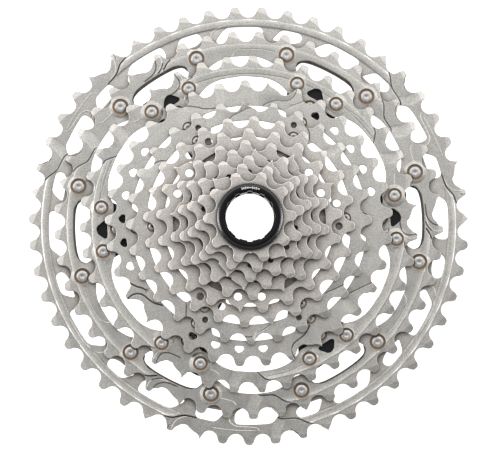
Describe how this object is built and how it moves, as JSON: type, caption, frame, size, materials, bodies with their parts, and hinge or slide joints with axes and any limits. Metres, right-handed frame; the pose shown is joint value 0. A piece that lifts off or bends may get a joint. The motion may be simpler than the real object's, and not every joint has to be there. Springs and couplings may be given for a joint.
{
  "type": "cassette sprocket",
  "caption": "Stack of toothed bicycle sprockets of growing size, riveted and clamped on a splined carrier by a black threaded lock ring.",
  "frame": {"origin": "bottom centre: on the spin axis, in the plane of the largest sprocket's back face", "axes": "+Z along the spin axis towards the lock ring, +X and +Y across the sprockets; the part lies on its largest sprocket"},
  "size_m": [0.2086, 0.2086, 0.045],
  "materials": {
    "nickel_steel": "satin nickel plate",
    "rivet_steel": "bright pressed steel",
    "black_aluminium": "black anodised",
    "spacer_aluminium": "plain turned",
    "washer_steel": "plain",
    "lock_ring_black": "black anodised, satin"
  },
  "bodies": {
    "stack": {"sprocket_51t": "nickel_steel", "sprocket_45t": "nickel_steel", "sprocket_39t": "nickel_steel", "sprocket_33t": "nickel_steel", "sprocket_28t": "nickel_steel", "sprocket_24t": "nickel_steel", "sprocket_21t": "nickel_steel", "sprocket_18t": "nickel_steel", "sprocket_16t": "nickel_steel", "sprocket_14t": "nickel_steel", "sprocket_12t": "nickel_steel", "sprocket_10t": "nickel_steel", "outer_rivet_01": "rivet_steel", "outer_rivet_02": "rivet_steel", "outer_rivet_03": "rivet_steel", "outer_rivet_04": "rivet_steel", "outer_rivet_05": "rivet_steel", "outer_rivet_06": "rivet_steel", "outer_rivet_07": "rivet_steel", "outer_rivet_08": "rivet_steel", "outer_rivet_09": "rivet_steel", "outer_rivet_10": "rivet_steel", "outer_rivet_11": "rivet_steel", "outer_rivet_12": "rivet_steel", "inner_rivet_01": "rivet_steel", "inner_rivet_02": "rivet_steel", "inner_rivet_03": "rivet_steel", "inner_rivet_04": "rivet_steel", "inner_rivet_05": "rivet_steel", "inner_rivet_06": "rivet_steel", "inner_rivet_07": "rivet_steel", "inner_rivet_08": "rivet_steel", "inner_rivet_09": "rivet_steel", "inner_rivet_10": "rivet_steel", "inner_rivet_11": "rivet_steel", "inner_rivet_12": "rivet_steel", "middle_rivet_01": "rivet_steel", "middle_rivet_02": "rivet_steel", "middle_rivet_03": "rivet_steel", "middle_rivet_04": "rivet_steel", "middle_rivet_05": "rivet_steel", "middle_rivet_06": "rivet_steel", "front_rivet_01": "rivet_steel", "front_rivet_02": "rivet_steel", "front_rivet_03": "rivet_steel", "front_rivet_04": "rivet_steel", "front_rivet_05": "rivet_steel", "front_rivet_06": "rivet_steel", "carrier": "black_aluminium", "spacer_33_28": "spacer_aluminium", "spacer_28_24": "spacer_aluminium", "spacer_24_21": "spacer_aluminium", "spacer_21_18": "spacer_aluminium", "spacer_18_16": "spacer_aluminium", "spacer_16_14": "spacer_aluminium", "spacer_14_12": "spacer_aluminium", "spacer_12_10": "spacer_aluminium"},
    "washer": {"lock_washer": "washer_steel"},
    "ring": {"lock_ring": "lock_ring_black"}
  },
  "joints": [
    {"name": "lock_washer_lift", "type": "slide", "parent": "stack", "child": "washer", "axis": [0, 0, 1], "range_m": [0, 0.004]},
    {"name": "lock_ring_turn", "type": "hinge", "parent": "washer", "child": "ring", "pos_m": [0, 0, 0.0426], "axis": [0, 0, 1], "range_deg": [0, 1440]}
  ],
  "couplings": [
    {"joint": "lock_washer_lift", "follows": "lock_ring_turn", "m_per_rad": 0.00015915}
  ]
}
